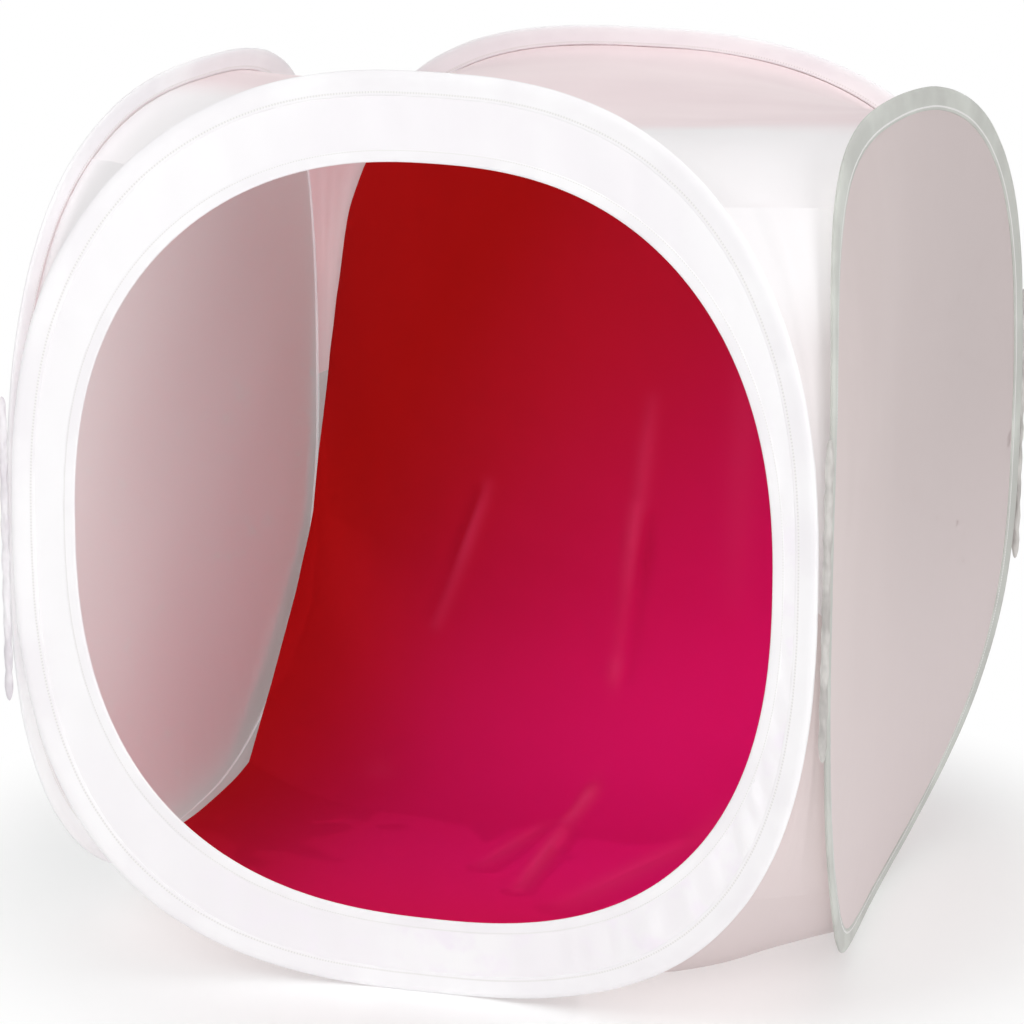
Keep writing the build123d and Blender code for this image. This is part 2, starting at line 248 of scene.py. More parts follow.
def ramp(tree, value, low, high):
    node = tree.nodes.new("ShaderNodeMapRange")
    node.clamp = True
    node.interpolation_type = "SMOOTHSTEP"
    node.inputs["From Min"].default_value = low
    node.inputs["From Max"].default_value = high
    tree.links.new(value, node.inputs["Value"])
    return node.outputs["Result"]


def makeCloth(name, look):
    # look: colour, shadow (colour in the pulls), sheen, roughness, streak settings, weave depth
    material = bpy.data.materials.new(name)
    material.use_nodes = True
    tree = material.node_tree
    shader = tree.nodes["Principled BSDF"]
    shader.inputs["Sheen Weight"].default_value = look.get("sheen", 0.1)
    shader.inputs["Sheen Roughness"].default_value = 0.5
    shader.inputs["Specular IOR Level"].default_value = look.get("specular", 0.25)
    streaks = useGroup(tree, streakGroup, look["streaks"])
    weave = useGroup(tree, weaveGroup, {"Threads": look.get("threads", 900.0), "Depth": 1.0})
    pulls = ramp(tree, streaks.outputs["Broad"], 0.35, 0.68)
    colour = mixColour(tree, pulls, look["shadow"], look["colour"])
    if "tint" in look:
        colour = look["tint"](tree, colour)
    speck = mathNode(tree, "MULTIPLY", weave.outputs["Shade"], look.get("weaveShade", 0.05))
    colour = mixColour(tree, mathNode(tree, "ADD", speck, 0.04, clamp=True), colour, look["shadow"])
    tree.links.new(colour, shader.inputs["Base Color"])
    rough = mathNode(tree, "MULTIPLY_ADD", streaks.outputs["Fine"], 0.12)
    rough.node.inputs[2].default_value = look.get("roughness", 0.8) - 0.06
    tree.links.new(rough, shader.inputs["Roughness"])
    height = mathNode(tree, "MULTIPLY", streaks.outputs["Broad"], look.get("pullHeight", 0.6))
    fine = mathNode(tree, "MULTIPLY", streaks.outputs["Fine"], 0.06)
    threads = mathNode(tree, "MULTIPLY", weave.outputs["Height"], look.get("weaveHeight", 0.03))
    total = mathNode(tree, "ADD", mathNode(tree, "ADD", height, fine), threads)
    bump = tree.nodes.new("ShaderNodeBump")
    bump.inputs["Strength"].default_value = look.get("bump", 0.25)
    bump.inputs["Distance"].default_value = 0.002
    tree.links.new(total, bump.inputs["Height"])
    tree.links.new(bump.outputs["Normal"], shader.inputs["Normal"])
    return material


def objectAxis(tree, axis):
    coords = tree.nodes.new("ShaderNodeTexCoord")
    parts = tree.nodes.new("ShaderNodeSeparateXYZ")
    tree.links.new(coords.outputs["Object"], parts.inputs[0])
    return parts.outputs[axis]


def backdropTint(tree, colour):
    # the colour leans from scarlet at the left and the top to crimson, partly its own hue and partly painted
    # light and shade: darkest at the upper left and brightest low on the right, and the creases get a
    # painted highlight along their ridges and painted shade in their furrows
    x, y, z = (objectAxis(tree, axis) for axis in "XYZ")
    raised = mathNode(tree, "MAXIMUM", mathNode(tree, "SUBTRACT", z, 0.20), 0.0)
    fromLeft = mathNode(tree, "SUBTRACT", x, mathNode(tree, "MULTIPLY", raised, 0.62))
    low = mathNode(tree, "SUBTRACT", mathNode(tree, "MULTIPLY", x, 0.9), z)
    # painted light and shade: dark at the upper left, bright low on the right, a middle crimson nearer the
    # front
    bright = mixColour(tree, ramp(tree, low, -0.55, 0.10), (0.53, 0.009, 0.032), (0.81, 0.0095, 0.180))
    nearer = mixColour(tree, ramp(tree, y, 0.05, -0.30), bright, (0.69, 0.009, 0.088))
    dyeAndShade = mixColour(tree, ramp(tree, fromLeft, -0.42, -0.16), colour, nearer)
    # painted crease light: a painted highlight on raised creases, painted shade in sunken ones
    creaseLight = tree.nodes.new("ShaderNodeAttribute")
    creaseLight.attribute_name = "creaseLight"
    sunken = mathNode(tree, "MULTIPLY", creaseLight.outputs["Fac"], -1.0)
    ridgeHighlight = mathNode(tree, "MULTIPLY", mathNode(tree, "MAXIMUM", creaseLight.outputs["Fac"], 0.0), 0.30)
    furrowShade = mathNode(tree, "MULTIPLY", mathNode(tree, "MAXIMUM", sunken, 0.0), 0.45)
    light = mixColour(tree, ridgeHighlight, dyeAndShade, (0.98, 0.10, 0.26))
    return mixColour(tree, furrowShade, light, (0.30, 0.003, 0.020))


def wallTint(tree, colour):
    # thin cloth painted with light: brighter near the front and painted shade towards the back, lighter
    # towards the foot, and palest on the left wall, where a painted glow stands for the light let through
    # the cloth
    y = objectAxis(tree, "Y")
    # painted shade: darker towards the back
    upper = mixColour(tree, ramp(tree, y, -0.42, 0.20), colour, (0.57, 0.495, 0.49))
    foot = mathNode(tree, "MULTIPLY", ramp(tree, objectAxis(tree, "Z"), 0.52, 0.12), 0.75)
    walls = mixColour(tree, foot, upper, (0.72, 0.625, 0.625))
    # painted glow for light through the left wall, brightest near the front
    glow = mixColour(tree, ramp(tree, y, -0.38, 0.16), (0.94, 0.96, 0.95), (0.70, 0.73, 0.725))
    left = mathNode(tree, "MULTIPLY", ramp(tree, objectAxis(tree, "X"), -0.30, -0.36), 0.9)
    return mixColour(tree, left, walls, glow)


def borderWrinkleShade(tree, colour):
    # painted shade: faint lavender in the pulls of the tension wrinkles at the lower right of the front
    streaks = useGroup(tree, streakGroup, {
        "Scale": 26.0, "StretchX": 1.0, "StretchY": 1.0, "StretchZ": 1.0, "Fine": 90.0,
    })
    pulls = ramp(tree, streaks.outputs["Broad"], 0.50, 0.68)
    place = mathNode(tree, "SUBTRACT", objectAxis(tree, "X"), objectAxis(tree, "Z"))
    low = ramp(tree, place, -0.45, 0.05)
    return mixColour(tree, mathNode(tree, "MULTIPLY", pulls, low), colour, (0.89, 0.845, 0.90))


def stitchTint(tree, colour):
    # a line of stitches beside the inner edge of a sewn tube, on the piece's own map
    flat = tree.nodes.new("ShaderNodeUVMap")
    flat.uv_map = "flat"
    parts = tree.nodes.new("ShaderNodeSeparateXYZ")
    tree.links.new(flat.outputs[0], parts.inputs[0])
    stitch = useGroup(tree, stitchGroup, {"Line": 0.74, "Width": 0.035, "Count": 430.0})
    tree.links.new(parts.outputs["X"], stitch.inputs["Along"])
    tree.links.new(parts.outputs["Y"], stitch.inputs["Across"])
    # painted shade: the groove is a fixed grey, darker than the white sleeves
    groove = mixColour(tree, stitch.outputs["Groove"], colour, (0.66, 0.64, 0.64))
    return mixColour(tree, stitch.outputs["Thread"], groove, (0.86, 0.85, 0.84))


def roofTint(tree, colour):
    # the roof keeps its rosy colour at the back; where it turns down to the front it is painted pale, a
    # painted highlight of the front light, a little less pale lower down
    depth = objectAxis(tree, "Y")
    rosy = ramp(tree, depth, -0.10, 0.02)
    high = ramp(tree, objectAxis(tree, "Z"), 0.62, 0.70)
    # painted highlight where the roof turns down to face the front
    frontHighlight = mixColour(tree, high, (0.80, 0.755, 0.76), (0.89, 0.87, 0.88))
    return mixColour(tree, rosy, frontHighlight, colour)


whiteCloth = makeCloth("white_cloth", {
    "colour": (0.92, 0.91, 0.92), "shadow": (0.88, 0.855, 0.88), "sheen": 0.1, "roughness": 0.72,
    "streaks": {"Scale": 5.0, "StretchX": 1.0, "StretchY": 1.0, "StretchZ": 0.6, "Fine": 90.0},
    "tint": borderWrinkleShade,
})
whiteSleeveCloth = makeCloth("white_sleeve_cloth", {
    "colour": (0.92, 0.91, 0.92), "shadow": (0.87, 0.85, 0.87), "sheen": 0.1, "roughness": 0.72,
    "streaks": {"Scale": 12.0, "StretchX": 1.0, "StretchY": 1.0, "StretchZ": 1.0, "Fine": 120.0},
    "tint": stitchTint,
})
sleeveCloth = makeCloth("sleeve_cloth", {
    "colour": (0.60, 0.615, 0.575), "shadow": (0.50, 0.505, 0.475), "sheen": 0.15, "roughness": 0.75,
    "streaks": {"Scale": 14.0, "StretchX": 1.0, "StretchY": 1.0, "StretchZ": 1.0, "Fine": 120.0},
    "tint": stitchTint,
})
greyCloth = makeCloth("grey_cloth", {
    "colour": (0.70, 0.61, 0.60), "shadow": (0.63, 0.54, 0.53), "sheen": 0.1, "roughness": 0.8,
    "streaks": {"Scale": 3.0, "StretchX": 1.0, "StretchY": 1.0, "StretchZ": 0.5, "Fine": 70.0},
    "tint": wallTint,
})
roofCloth = makeCloth("roof_cloth", {
    "colour": (0.89, 0.765, 0.775), "shadow": (0.83, 0.70, 0.715), "sheen": 0.1, "roughness": 0.75,
    "streaks": {"Scale": 5.0, "StretchX": 0.35, "StretchY": 1.6, "StretchZ": 1.0, "Fine": 80.0},
    "tint": roofTint,
})
seamCloth = makeCloth("seam_cloth", {
    "colour": (0.62, 0.60, 0.575), "shadow": (0.42, 0.40, 0.385), "sheen": 0.1, "roughness": 0.8,
    "streaks": {"Scale": 60.0, "StretchX": 1.0, "StretchY": 1.0, "StretchZ": 0.5, "Fine": 300.0},
    "pullHeight": 1.2,
})
paleSeamCloth = makeCloth("pale_seam_cloth", {
    "colour": (0.88, 0.86, 0.88), "shadow": (0.70, 0.66, 0.70), "sheen": 0.1, "roughness": 0.8,
    "streaks": {"Scale": 60.0, "StretchX": 1.0, "StretchY": 1.0, "StretchZ": 0.5, "Fine": 300.0},
    "pullHeight": 1.2,
})
# the darker scarlet here shows at the left and the top: partly its own hue, partly painted shade
backdropCloth = makeCloth("backdrop_cloth", {
    "colour": (0.48, 0.008, 0.008), "shadow": (0.44, 0.007, 0.007), "sheen": 0.0, "roughness": 0.9,
    "specular": 0.04,
    "streaks": {"Scale": 4.0, "StretchX": 1.4, "StretchY": 0.5, "StretchZ": 0.5, "Fine": 110.0},
    "tint": backdropTint, "bump": 0.3,
})


def makeSteel(name, colour, rough):
    material = bpy.data.materials.new(name)
    material.use_nodes = True
    tree = material.node_tree
    shader = tree.nodes["Principled BSDF"]
    streaks = useGroup(tree, streakGroup, {
        "Scale": 40.0, "StretchX": 1.0, "StretchY": 1.0, "StretchZ": 6.0, "Fine": 200.0,
    })
    dark = tuple(0.8 * channel for channel in colour)
    tree.links.new(mixColour(tree, streaks.outputs["Broad"], dark, colour), shader.inputs["Base Color"])
    value = mathNode(tree, "MULTIPLY_ADD", streaks.outputs["Fine"], 0.2)
    value.node.inputs[2].default_value = rough
    tree.links.new(value, shader.inputs["Roughness"])
    shader.inputs["Metallic"].default_value = 1.0
    return material


springSteel = makeSteel("spring_steel", (0.50, 0.51, 0.52), 0.3)
ferruleSteel = makeSteel("ferrule_steel", (0.62, 0.62, 0.62), 0.35)
print("cloth and steel made")

# sleeves: flat tubes, fuller over the wire, gathered along their inner stitching
sleeve = {"columns": 360, "around": 20, "wireAt": 0.0065, "full": 0.0030, "thin": 0.0011, "pucker": 0.0004}


def sleeveHalf(r):
    # half thickness at r from the outer edge
    width = tent["sleeveWidth"]
    if r < sleeve["wireAt"]:
        q = 1 - r / sleeve["wireAt"]
        return sleeve["full"] * math.sqrt(max(0.0, 1 - q * q))
    q = (r - sleeve["wireAt"]) / (width - sleeve["wireAt"])
    return sleeve["thin"] + (sleeve["full"] - sleeve["thin"]) * (1 - q) ** 1.6


def makeSleeve(hoop, material):
    width = tent["sleeveWidth"]
    seed = 3.1 * list(hoops).index(hoop["name"])

    def place(s, t):
        angle = math.pi * s
        turn = math.pi * t                      # -pi..pi round the section, 0 at the outer edge
        r = width * (1 - math.cos(turn)) / 2
        side = 1 if turn > 0 else -1
        x, y, z = onHoop(hoop, angle, r)
        inner = (r / width) ** 2
        gather = sleeve["pucker"] * inner * ripple(x, y, z, 130, seed)
        lift = side * sleeveHalf(r) + gather if abs(turn) > 1e-6 else 0.0
        if abs(abs(turn) - math.pi) < 1e-6:
            lift = gather
        wave = 0.0008 * ripple(x, y, z, 9, seed)
        return onHoop(hoop, angle, r + 0.0003 * ripple(x, y, z, 25, seed), lift + wave)

    bm = gridCloth(sleeve["columns"], sleeve["around"], place)
    bmesh.ops.remove_doubles(bm, verts=bm.verts, dist=0.00012)
    piece = finishPiece(bm, hoop["name"] + "_sleeve_cloth", material)
    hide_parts(hoop["name"] + "_sleeve")
    return piece


for name, hoop in hoops.items():
    cloth = sleeveCloth if name == "right" else whiteSleeveCloth
    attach(makeSleeve(hoop, cloth), name)
print("sleeves made")


# walls: pulled from their hoops, with faint tension folds from the gathered edge
def squareToHoop(s, t):
    # concentric: the grid's rings become rings of the hoop's outline
    size = max(abs(s), abs(t))
    if size < 1e-9:
        return 0.0, 0.0
    angle = math.atan2(t, s)
    u, v = squircle(angle)
    return size * u, size * v


wallCloth = {"steps": 96, "thickness": 0.0006, "fold": 0.0016, "gather": 0.0012}


def makeWall(hoop, material):
    inset = tent["sleeveWidth"] - 0.0008
    seed = 7.7 * list(hoops).index(hoop["name"])

    def place(s, t):
        u, v = squareToHoop(s, t)
        x, y = u * (hoop["span"] - inset), v * (hoop["rise"] - inset)
        size = max(abs(s), abs(t))
        angle = math.atan2(t, s) if size > 1e-9 else 0.0
        free = 1 - size ** 4
        broad = wallCloth["fold"] * free * ripple(x, y, 0, 6, seed) * 2
        around = Vector((24 * math.cos(angle), 24 * math.sin(angle), seed))
        pull = wallCloth["gather"] * size ** 6 * free * 3 * noise.noise(around)
        return onCloth(hoop, x, y, broad + pull)

    bm = gridCloth(wallCloth["steps"], wallCloth["steps"], place)
    thicken(bm, wallCloth["thickness"])
    piece = finishPiece(bm, hoop["name"] + "_wall_cloth", material, sharpAngle=50)
    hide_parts(hoop["name"] + "_panel")
    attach(piece, hoop["name"])
    return piece


for name in ("right", "back", "left"):
    makeWall(hoops[name], greyCloth)
print("walls made")

# front border and the opening's hem
opening = {"halfWidth": 0.330, "halfHeight": 0.349, "shift": 0.008, "roundness": 2.4, "hem": 0.012}
border = {"columns": 360, "rows": 20, "thickness": 0.0006}


def onOpening(angle, outset):
    u, v = squircle(angle, opening["roundness"])
    return u * (opening["halfWidth"] + outset) + opening["shift"], v * (opening["halfHeight"] + outset)


def borderLift(angle, share, x, y):
    # tension folds across the border, strongest at the lower right, and a fold where the sleeve is sewn
    lower = math.exp(-((angle + 0.75) / 0.5) ** 2)
    pleats = noise.noise(Vector((14 * math.cos(angle), 14 * math.sin(angle), 2.2)))
    fine = noise.noise(Vector((34 * math.cos(angle), 34 * math.sin(angle), 5.1)))
    across = math.sin(math.pi * share) ** 0.8
    return across * ((0.0014 + 0.0050 * lower) * pleats + (0.0007 + 0.0030 * lower) * fine)


def placeBorder(s, t):
    angle = math.pi * s
    share = (t + 1) / 2
    front = hoops["front"]
    inner = onOpening(angle, opening["hem"] - 0.001)
    u, v = squircle(angle)
    inset = tent["sleeveWidth"] - 0.0008
    outer = (u * (front["span"] - inset), v * (front["rise"] - inset))
    x, y = (a + (b - a) * share for a, b in zip(inner, outer))
    return onCloth(front, x, y, borderLift(angle, share, x, y))


bm = gridCloth(border["columns"], border["rows"], placeBorder)
bmesh.ops.remove_doubles(bm, verts=bm.verts, dist=0.00005)
borderArea = clothArea(bm)
thicken(bm, border["thickness"])
frontBorder = finishPiece(bm, "front_border_cloth", whiteCloth, sharpAngle=50)
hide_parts("front_border")
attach(frontBorder, "front")


def placeHem(s, t):
    angle = math.pi * s
    turn = math.pi * t
    width = opening["hem"]
    r = width * (1 - math.cos(turn)) / 2
    half = 0.0009 * math.sin(min(math.pi, abs(turn))) ** 0.5
    x, y = onOpening(angle, r)
    pucker = 0.0002 * noise.noise(Vector((90 * math.cos(angle), 90 * math.sin(angle), 1.0)))
    return onCloth(hoops["front"], x, y, (half if turn > 0 else -half) + pucker)


bm = gridCloth(border["columns"], 12, placeHem)
bmesh.ops.remove_doubles(bm, verts=bm.verts, dist=0.00005)
openingHem = finishPiece(bm, "opening_hem_cloth", whiteSleeveCloth)
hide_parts("opening_hem")
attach(openingHem, "front")
print("front made")

# roof, floor and gussets hang from the hoops
softEdge = {"inset": 0.0222, "lift": -0.0022}
shear = {"front": -0.404, "depth": 0.808, "cuts": (0.045, 0.17, 0.5, 0.83, 0.955), "least": 0.03}
neighbours = {
    "front": {1: "right", -1: "left"}, "right": {1: "back", -1: "front"},
    "back": {1: "left", -1: "right"}, "left": {1: "front", -1: "back"},
}


def seamCurve(hoop, up, seamShare, share):
    nudge = 0.001
    held = max(-seamShare, min(seamShare, share))
    point = onArc(hoop, held, up, softEdge["inset"], softEdge["lift"])
    slope = (onArc(hoop, held + nudge, up, softEdge["inset"], softEdge["lift"]) - point) / nudge
    return point + slope * (share - held)


def edgeCurve(hoop, up, seamShare, share):
    # past its corner seam a side's edge is eased to meet the next side in one point
    point = seamCurve(hoop, up, seamShare, share)
    past = max(0.0, abs(share) - seamShare) / (1 - seamShare)
    if past:
        end = 1 if share > 0 else -1
        nextHoop = hoops[neighbours[hoop["name"]][end]]
        gap = seamCurve(nextHoop, up, seamShare, -end) - seamCurve(hoop, up, seamShare, end)
        point = point + gap * (past * past / 2)
    return point


def hungPoint(panel, s, t):
    up, seamShare, level = panel["up"], panel["seamShare"], panel["level"]
    front, right, back, left = (hoops[name] for name in ("front", "right", "back", "left"))
    curves = [
        edgeCurve(front, up, seamShare, s), edgeCurve(back, up, seamShare, -s),
        edgeCurve(left, up, seamShare, -t), edgeCurve(right, up, seamShare, t),
    ]
    corners = {
        (0, 2): edgeCurve(front, up, seamShare, -1), (0, 3): edgeCurve(front, up, seamShare, 1),
        (1, 2): edgeCurve(back, up, seamShare, 1), (1, 3): edgeCurve(back, up, seamShare, -1),
    }
    plain = [(1 - t) / 2, (1 + t) / 2, (1 - s) / 2, (1 + s) / 2]
    slack = [weight ** 3 for weight in plain]
    spread = Vector((0, 0, 0))
    height = level
    for curve, weight, ease in zip(curves, plain, slack):
        spread += curve * weight
        height += (curve.z - level) * ease
    for (i, j), corner in corners.items():
        spread -= corner * (plain[i] * plain[j])
        height -= (corner.z - level) * slack[i] * slack[j]
    return Vector((spread.x, spread.y, height))


roof = {"up": 1, "seamShare": 0.70, "sideShare": 0.60, "level": 0.710, "thickness": 0.0006, "fold": 0.0035}
ground = {
    "up": -1, "seamShare": 0.79, "sideShare": 0.79, "level": -0.060, "thickness": 0.0008, "fold": 0.0025,
    "ease": 0.014, "trim": 0.0003,
}


def eased(height):
    return (height + math.hypot(height, ground["ease"])) / 2


groundDrop = eased(hungPoint(ground, 0, 0).z) + ground["trim"]


def groundPoint(s, t):
    point = hungPoint(ground, s, t)
    return Vector((point.x, point.y, eased(point.z) - groundDrop))


def cutSide(bm, point, normal, keepBelow=True):
    bmesh.ops.bisect_plane(
        bm, geom=bm.verts[:] + bm.edges[:] + bm.faces[:], plane_co=point, plane_no=normal,
        clear_outer=keepBelow, clear_inner=not keepBelow,
    )


def cornerShares(name, panel):
    facing = name in ("front", "back")
    return (panel["seamShare"], panel["sideShare"]) if facing else (panel["sideShare"], panel["seamShare"])


def cutCorners(bm, panel):
    # what lies outside the chord between neighbouring corner seams belongs to the gusset
    for name in hoops:
        hoop, nextHoop = hoops[name], hoops[neighbours[name][1]]
        own, other = cornerShares(name, panel)
        start = onArc(hoop, own, panel["up"], softEdge["inset"], softEdge["lift"])
        end = onArc(nextHoop, -other, panel["up"], softEdge["inset"], softEdge["lift"])
        chord = end - start
        cutSide(bm, start, Vector((chord.y, -chord.x, 0)).normalized())


def unease(weight):
    # the share at which a smooth step reaches weight
    return 0.5 - math.sin(math.asin(1 - 2 * weight) / 3)


def shearPieces(bm, look):
    # cut across the depth into strips
    depths = [(vert.co.y - shear["front"]) / shear["depth"] for vert in bm.verts]
    first, last = min(depths), max(depths)
    cuts = [cut for cut in shear["cuts"] if first + shear["least"] < cut < last - shear["least"]]
    edges = [first, *cuts, last]
    strips = list(zip(edges, edges[1:]))
    pieces = []
    for number, (low, high) in enumerate(strips):
        strip = bm.copy()
        yLow = shear["front"] + shear["depth"] * low
        yHigh = shear["front"] + shear["depth"] * high
        if number > 0:
            cutSide(strip, (0, yLow, 0), (0, 1, 0), keepBelow=False)
        if number < len(strips) - 1:
            cutSide(strip, (0, yHigh, 0), (0, 1, 0))
        area = clothArea(strip)
        thicken(strip, look["thickness"])
        piece = finishPiece(strip, look["name"] + "_" + "abcdef"[number], look["material"], sharpAngle=50)
        tauLow, tauHigh = unease(low), unease(high)
        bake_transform(piece)
        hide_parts(*look["nodes"])
        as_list(look["restsOn"])
        pieces.append(piece)
    bm.free()
    return pieces


def addFolds(bm, folds):
    bm.normal_update()
    for vert, normal in [(vert, vert.normal.copy()) for vert in bm.verts]:
        vert.co += normal * folds(vert.co)


def roofFolds(co):
    # pulls that run from the corner seams, and soft sagging between them
    freeAcross = min(1.0, max(0.0, (0.83 - abs(co.x) / tent["halfWidth"]) * 3))
    freeAlong = min(1.0, max(0.0, (0.85 - abs(co.y) / tent["halfDepth"]) * 3))
    free = freeAcross * freeAlong
    broad = ripple(co.x * 0.5, co.y, 0, 9, 4.0) + 0.5 * ripple(co.x, co.y * 0.6, 0, 21, 9.0)
    radial = math.atan2(co.y + 0.30, co.x - 0.28)
    near = math.exp(-math.hypot(co.x - 0.28, co.y + 0.30) / 0.16)
    return free * (roof["fold"] * broad + 0.004 * near * noise.noise(Vector((radial * 5, 0.5, 1.5))))


def groundFolds(co):
    return ground["fold"] * max(0.0, min(1.0, (co.z - 0.002) * 60)) * ripple(co.x, co.y, 0, 14, 2.0)


allSleeves = [name + "_sleeve_cloth" for name in ("front", "right", "back", "left")]
bm = gridCloth(110, 110, lambda s, t: hungPoint(roof, s, t))
cutCorners(bm, roof)
addFolds(bm, roofFolds)
shearPieces(bm, {
    "name": "roof_cloth", "material": roofCloth, "slot": "roof_cloth", "nodes": ["top_panel"],
    "thickness": roof["thickness"], "held": "stretched", "restsOn": allSleeves,
})
bm = gridCloth(110, 110, groundPoint)
cutCorners(bm, ground)
addFolds(bm, groundFolds)
for vert in bm.verts:
    vert.co.z = max(vert.co.z, 0.0002)
shearPieces(bm, {
    "name": "floor_cloth", "material": greyCloth, "slot": "grey_cloth", "nodes": ["bottom_panel"],
    "thickness": ground["thickness"], "held": "laid", "restsOn": allSleeves,
})
print("roof and floor made")

gusset = {"foot": 1.0, "tuck": 0.001, "bow": 0.006, "thickness": 0.0006}


def makeGusset(name, panel, material, slotName):
    hoop = hoops[name]
    nextHoop = hoops[neighbours[name][1]]
    corner = {"front": "front_right", "right": "back_right", "back": "back_left", "left": "front_left"}[name]
    level = "upper" if panel["up"] == 1 else "lower"
    out = (hoop["outward"] + nextHoop["outward"]).normalized()

    def place(s, t):
        along = (t + 1) / 2
        lift = softEdge["lift"] - gusset["tuck"] * along
        shares = cornerShares(name, panel)
        own, other = (gusset["foot"] - (gusset["foot"] - seam) * (1 - along) ** 2 for seam in shares)
        start = onArc(hoop, own, panel["up"], softEdge["inset"], lift)
        end = onArc(nextHoop, -other, panel["up"], softEdge["inset"], lift)
        across = (s + 1) / 2
        middle = 4 * across * (1 - across)
        spot = Vector((across * 7, along * 1.5, panel["seamShare"] * 9 + len(name)))
        pull = 0.004 * middle * noise.noise(spot)
        return start.lerp(end, across) + out * ((gusset["bow"] * along + pull * (1 - along)) * middle)

    bm = gridCloth(28, 60, place)
    shearPieces(bm, {
        "name": corner + "_" + level + "_gusset_cloth", "material": material, "slot": slotName,
        "nodes": [corner + "_" + level + "_gusset"], "thickness": gusset["thickness"],
        "held": "stretched", "restsOn": [name + "_sleeve_cloth"],
    })


for name in hoops:
    makeGusset(name, roof, roofCloth, "roof_cloth")
    makeGusset(name, ground, greyCloth, "grey_cloth")
print("gussets made")

# backdrop: one long sheet from the back hoop's top edge down, round the bend and forward over the floor
backdrop = {
    "half": 0.955, "front": 0.87, "bend": 0.30, "lift": 0.006, "sweep": 0.210, "topHalf": 0.985,
    "topInset": 0.030, "gap": 0.003, "thickness": 0.0008,
    "floorPart": 0.42, "sweepPart": 0.20, "wallPart": 0.38,
}
backdropEdge = {
    "heel": (0.69, -0.63), "shin": (0.85, -0.36), "waist": (0.92, -0.08), "gap": 0.010, "lift": 0.010,
    "rise": 0.045, "power": 6, "cornerShare": 0.4, "cornerPower": 4,
}


def backdropPoint(s, t):
    spread = 0.6 * s + 0.4 * math.sin(math.pi / 2 * s)
    share = backdrop["half"] * spread
    held = abs(spread) ** backdropEdge["power"]
    side, backEnd = (hoops["right"], 1) if s > 0 else (hoops["left"], -1)
    hook = {}
    for name in ("heel", "shin", "waist"):
        u, v = backdropEdge[name]
        hook[name] = onCloth(side, backEnd * u * side["span"], v * side["rise"], -backdropEdge["gap"])
    topShare = backdrop["topHalf"] * spread
    across = backdropEdge["cornerShare"] * abs(spread) ** backdropEdge["cornerPower"]
    top = onArc(hoops["back"], -topShare, 1, backdrop["topInset"], -backdrop["gap"])
    top = top.lerp(onArc(side, backEnd * abs(topShare), 1, backdrop["topInset"], -backdrop["gap"]), across)
    run = backdrop["front"] + backdrop["bend"]
    lift = Vector((0, 0, backdrop["lift"] + backdropEdge["lift"] * held))
    foot = groundPoint(share, backdrop["bend"]) + lift
    heelHeight = foot.z + backdropEdge["rise"] * spread ** 4
    heel = Vector(((foot.x + top.x) / 2, top.y, heelHeight)).lerp(hook["heel"], held)
    shin = Vector((top.x, top.y, foot.z + backdrop["sweep"])).lerp(hook["shin"], held)
    waist = ((shin + top) / 2).lerp(hook["waist"], held)
    q = (t + 1) / 2
    floorEnd = backdrop["floorPart"]
    sweepEnd = floorEnd + backdrop["sweepPart"]
    if q < floorEnd:
        return groundPoint(share, -backdrop["front"] + run * q / floorEnd) + lift
    if q < sweepEnd:
        q = (q - floorEnd) / backdrop["sweepPart"]
        return foot * (1 - q) ** 2 + heel * (2 * q * (1 - q)) + shin * q * q
    q = (q - sweepEnd) / backdrop["wallPart"]
    return shin * (1 - q) ** 2 + waist * (2 * q * (1 - q)) + top * q * q


def crease(co, start, end, width, height):
    # a sharp fold line that fades at both ends
    a, b = Vector(start), Vector(end)
    line = b - a
    t = max(0.0, min(1.0, (co - a).dot(line) / line.length_squared))
    off = (co - a - line * t).length
    return height * math.exp(-(off / width) ** 2) * math.sin(math.pi * (0.12 + 0.76 * t))


# each crease: its two ends, how wide it is, and how high it stands or how deep it sinks
backdropCreases = [
    ((-0.165, 0.314, 0.310), (-0.225, 0.312, 0.150), 0.008, 0.0045),
    ((-0.180, 0.314, 0.300), (-0.240, 0.312, 0.160), 0.008, -0.0035),
    ((0.018, 0.306, 0.420), (0.000, 0.305, 0.265), 0.009, 0.0030),
    ((0.002, 0.305, 0.300), (-0.014, 0.285, 0.120), 0.009, 0.0050),
    ((0.016, 0.305, 0.290), (0.000, 0.285, 0.120), 0.009, -0.0035),
    ((-0.013, 0.290, 0.130), (-0.009, 0.183, 0.017), 0.009, 0.0050),
    ((-0.008, 0.195, 0.020), (-0.014, 0.130, 0.007), 0.008, 0.0060),
    ((-0.014, 0.135, 0.007), (0.002, -0.075, 0.006), 0.009, 0.0048),
    ((-0.035, 0.120, 0.007), (-0.055, -0.020, 0.006), 0.010, 0.0025),
    ((0.120, 0.306, 0.500), (0.110, 0.300, 0.200), 0.016, 0.0028),
    ((-0.300, 0.300, 0.200), (-0.240, 0.180, 0.030), 0.016, 0.0030),
    ((0.150, 0.200, 0.020), (0.060, -0.100, 0.006), 0.018, 0.0030),
]


def creaseSum(co):
    return sum(crease(co, *line) for line in backdropCreases)


def backdropFolds(co):
    wide = ripple(co.x, co.y * 0.5 + co.z * 0.5, 0, 7, 6.0)
    fine = ripple(co.x * 1.4, co.y, co.z, 22, 3.0)
    low = min(1.0, max(0.0, (co.z - 0.004) * 40))
    return creaseSum(co) + low * (0.0030 * wide + 0.0012 * fine)


# each vertex's painted crease light is its crease height over this: raised for a painted highlight, sunken
# for painted shade
fullCrease = 0.005
bm = gridCloth(200, 300, backdropPoint)
